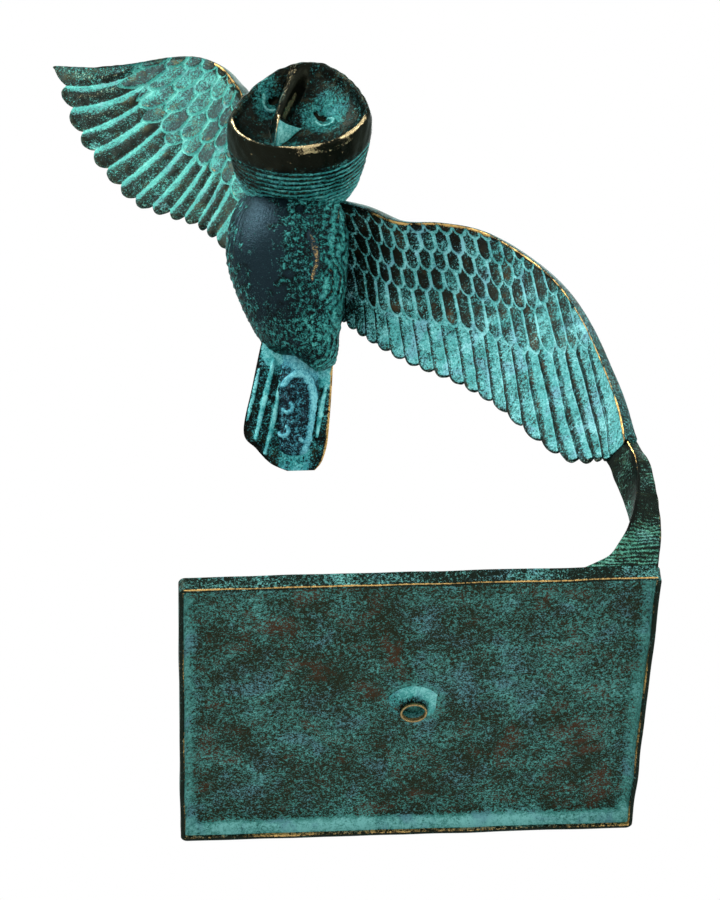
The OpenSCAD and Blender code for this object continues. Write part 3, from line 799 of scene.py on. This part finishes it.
# The face is turned aside, less and less toward the neck, and the whole head is rolled
face_yaw, head_roll = 9, 8
yaw = np.radians(face_yaw * (1 - depth / head_depth))
roll = np.radians(head_roll)
level = np.stack([np.cos(yaw), -np.sin(yaw), 0 * yaw], axis=-1)
upright = np.array((0, 0, 1.0))
face_right = level * np.cos(roll) - upright * np.sin(roll)
face_up = level * np.sin(roll) + upright * np.cos(roll)
head_points = face_mid + face_right * face_x[..., None] + face_up * face_z[..., None]
head_points[..., 1] += depth + push
# Rings round the neck, cut into the outside behind the rim
ring_pitch = 2.9
ring_at = depth + 0.8 * cast_ripple(head_points, 30, seed=51)
neck_rings = 0.5 + 0.5 * np.cos(2 * np.pi * ring_at / ring_pitch)
ringed = eased(depth, 12, 17) * ~inside
head_out = unit(head_points - (face_mid + np.array((0, head_depth / 2, 0))))
head_lift = np.where(inside, 0.10, 0.22) * cast_ripple(head_points, 7, seed=52)
head_lift = head_lift - 0.6 * ringed * (1 - neck_rings) ** 2 - 0.1
head_points = head_points + head_out * head_lift[..., None]
# Worn gold along the lower rim, widened on its right by a painted highlight, a broader streaky painted
# highlight on the rim's outside to the right, and spots below it
streaked = cast_ripple(head_points, 13, seed=53)
rightward = np.cos(head_a)
rim_off = abs(head_t[:, None] - rim_at * 0.95) / (0.75 + 0.5 * eased(rightward, 0.0, 0.7))
rim_wear_and_highlight = eased(rise, 0.15, -0.3) * eased(rim_off, 0.085, 0.02) * (0.62 + 0.28 * streaked)
# Painted highlight: a streaky pale gold strip on the rim's outside, toward its lower right
rim_highlight = (0.56 + 0.2 * streaked) * ~inside * eased(depth + 1.1 * streaked, 4.6, 3.2)
rim_highlight = rim_highlight * eased(rise, -0.15, -0.45) * eased(rightward, -0.25, 0.2)
rim_wear_and_highlight = rim_wear_and_highlight + rim_highlight * eased(rightward, 0.92, 0.65)
spots = eased(cast_ripple(head_points, 3.4, seed=54), 0.9, 1.3) * eased(abs(depth - 7), 6, 2)
spots = spots * ~inside * eased(rise, 0.0, -0.4)
chin_crust = dimple(face_x, face_z, (-3, -15), (22, 12)) * inside
right_facet = (beak > 0.03) & (face_x > -9.5) & (face_z < 0.5 * (face_x - beak_x) - 4)
around = eased(np.cos(head_a + 0.8), -0.2, 0.8)
eye_crust = 0.62 * right_eye ** 0.35 + 0.45 * left_eye ** 0.5
on_ridge = eased(ridge, 0.05, 0.45)
ridge_x, ridge_z = np.array(ridge_line[::-1]).T
left_slope = on_ridge * eased(face_x - np.interp(face_z, ridge_z, ridge_x), 0.8, -0.8)
face_hollow = np.maximum(eye_crust, 1.2 * eased(lids, 0.2, 0.7)) + 0.5 * chin_crust + 0.07 + right_facet
face_rub = 0.75 * eased(abs(beak_across), 0.2, 0.04) * in_beak + 0.62 * eased(ridge_right, 0.3, 0.8)
face_bare = 0.8 * eased(pupils, 0.15, 0.6) + 0.25 * on_ridge * (1 - left_slope) * ~right_facet
head_paint = {
    "hollow": np.where(inside, face_hollow, 0.1)
    + ringed * (0.9 * (1 - neck_rings) ** 3 + 0.04) * (0.25 + 0.75 * around)
    + 0.4 * eased(depth, 26, 40),
    "rub_and_sheen": np.clip(rim_wear_and_highlight, 0, 1) + 0.5 * spots + np.where(inside, face_rub + 0.4 * left_slope, 0),
    "bare": np.where(inside, face_bare, 0.3 * eased(depth, 16, 8))}
# The head's gold is pale and silvery because it also paints the highlight along the rim
head_finish = patina("Head patina", pale="86CCC6", green="248480", deep="07353A", cool="3C7E8C",
                     brown="0F120D", warm="2E3024", dark="15170F", gold="CDB98C", cover=0.12,
                     hold=0.85, speck=0.6, speck_share=0.8, patch=11, patch_share=0.3,
                     grain=0.18, polish=0.3, chalk=-0.1)
head = cast_skin("Head", head_points, head_paint, head_finish)
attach(head, "root")
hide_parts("head")

# ---------------------------------------------------------------- tail and legs
# Flat tail fan brazed under the torso, with long quills cut along it, and the legs drawn
# up against its underside, cast as one low lump with curled claws.
tail_root, tail_end = np.array((-37.0, 4, 240)), np.array((-42.0, 47, 194))
tail_way = tail_end - tail_root
tail_long = np.linalg.norm(tail_way)
sideways = np.array((1.0, 0, 0))
tail_up = unit(np.cross(sideways, tail_way))
# Share down the tail, half widths to the left and the right, and thickness
tail_thick = 2.5
tail_cuts = [(-0.12, 14, 14, 1.3), (0.05, 17, 16.5, 1.1), (0.4, 20.5, 17, 1), (0.74, 23.4, 16.6, 0.8),
             (0.87, 17, 16, 0.7), (0.98, 10, 14, 0.6), (1.04, 2, 11, 0.5)]
tail_t = np.linspace(0, 1, 220)
tail_a = full_turn(260)[None, :]
tail_cos, tail_sin = np.cos(tail_a), np.sin(tail_a)
share, left_w, right_w, half_t = (v[:, None] for v in on_curve(tail_cuts, tail_t).T)
plane_x = tail_cos * ((left_w + right_w) / 2) + (right_w - left_w) / 2
plane_run = share * tail_long
tail_points = (tail_root + tail_way * share[..., None] + sideways * plane_x[..., None]
               + tail_up * (tail_sin * half_t * tail_thick)[..., None])
under_side = tail_sin < 0
quill = tail_cos * 3.5 + 0.25 * cast_ripple(tail_points, 40, seed=61)
quill_groove = eased(abs(2 * (quill - np.floor(quill)) - 1), 1.0, 0.55)
welts = along_line(plane_x, plane_run, [(-11, 14), (-14.4, 31), (-17.6, 50)], (1.2, 1.9, 1.0))
for line in ([(-6.8, 18), (-9.6, 41), (-13, 57)], [(14, 27), (12.2, 38), (11, 50)],
             [(-18, 18), (-22, 41)]):
    welts = np.maximum(welts, along_line(plane_x, plane_run, line, (1.0, 1.7, 0.9)))
welts = eased(welts, 0.0, 0.6)
# The crust is thickest just under the belly's slanting edge
belly_at, belly_slant = 9.5, 0.43
crown = eased(plane_run - belly_at - belly_slant * plane_x, 16, 5)
on_face = eased(abs(tail_sin), 0.12, 0.4)
tail_lift = np.where(under_side, 1.1 * welts - 0.3, 0.45 - 0.9 * quill_groove) * on_face
tail_lift = tail_lift + 0.3 * cast_ripple(tail_points, 5, seed=62)
tail_points = tail_points + tail_up * (tail_lift * np.sign(tail_sin))[..., None]
tail_edge = eased(abs(tail_sin), 0.55, 0.2)
crusted = cast_ripple(tail_points, 5, seed=64)
leg_mid = 1
leg_end = eased(abs(plane_x - leg_mid), 9, 5) * eased(plane_run, 50, 58)
welt_crust = np.maximum(welts * (0.9 + 0.2 * crusted), np.maximum(crown, 0.45 * leg_end))
tail_paint = {
    "hollow": np.where(under_side, welt_crust + 0.18 + 0.1 * crusted, 1 - quill_groove) * on_face,
    "rub_and_sheen": 0.72 * tail_edge * eased(tail_cos, 0.6, 0.95), "bare": 0.2 * eased(tail_cos, -0.75, -0.95)}
tail_finish = patina("Tail patina", pale="82D3D3", green="2D9496", deep="0B444A", cool="4C8DA0",
                     brown="0B1110", warm="22291C", cover=0.16, hold=0.85, speck=0.75,
                     speck_share=0.9, patch=11, patch_share=0.3, grain=0.25)
tail = cast_skin("Tail", tail_points, tail_paint, tail_finish)
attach(tail, "root")
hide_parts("tail")

# Share down the tail, half width and half height
leg_cuts = [(0.10, 3, 3), (0.14, 7, 5.5), (0.22, 9, 7), (0.4, 10, 8), (0.6, 9.5, 7.5), (0.8, 8.5, 6.5),
            (0.93, 6.5, 4.5)]
leg_t = np.linspace(0, 1, 160)
leg_a = full_turn(160)[None, :]
leg_share, leg_w, leg_h = (v[:, None] for v in on_curve(leg_cuts, leg_t).T)
round_end = np.sqrt(1 - 0.9 * np.clip((leg_t[:, None] - 0.9) / 0.1, 0, 1) ** 2)
leg_w, leg_h = leg_w * round_end, leg_h * round_end
leg_x = np.cos(leg_a) * leg_w
leg_points = (tail_root + tail_way * leg_share[..., None] + sideways * (leg_mid + leg_x)[..., None]
              + tail_up * (np.sin(leg_a) * leg_h)[..., None])
leg_run = leg_share * tail_long
claws = np.zeros(leg_x.shape)
for claw_x, claw_run in ((-4.6, 36), (-5.8, 47), (4.2, 50)):
    dx, dy = leg_x - claw_x, leg_run - claw_run
    ring_off = abs(np.hypot(dx, dy) - 2.2)
    claws = np.maximum(claws, eased(ring_off, 1.3, 0.2) * eased(np.arctan2(dy, dx), -1.6, -1.0))
arch_line = [(-7.2, 25), (-2.2, 20.5), (4.2, 22), (7.4, 31), (6.9, 46), (4, 59)]
arch = eased(along_line(leg_x, leg_run, arch_line, (2.0, 2.6, 2.0)), 0.0, 0.6)
leg_out = unit(np.cos(leg_a)[..., None] * sideways + np.sin(leg_a)[..., None] * tail_up)
parting = eased(abs(leg_x), 1.4, 0.2)
leg_lift = 1.1 * claws + 0.8 * arch - 0.3 * parting + 0.4 * cast_ripple(leg_points, 4, seed=63) - 0.4
leg_points = leg_points + leg_out * leg_lift[..., None]
leg_crown = eased(leg_run - belly_at - belly_slant * leg_x, 14, 5)
leg_hollow = np.maximum(np.maximum(0.9 * claws, 0.9 * arch), leg_crown) + 0.2 * parting + 0.1
leg_finish = patina("Leg patina", pale="7CCBD2", green="3A8C9C", deep="173F4C", cool="46788E",
                    brown="0F181D", warm="20303B", cover=0.24, hold=0.75, speck=0.7,
                    speck_share=0.9, patch=8, patch_share=0.25, grain=0.25)
legs = cast_skin("Tucked_legs", leg_points, {"hollow": leg_hollow}, leg_finish)
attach(legs, "root")
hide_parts("tucked_legs")
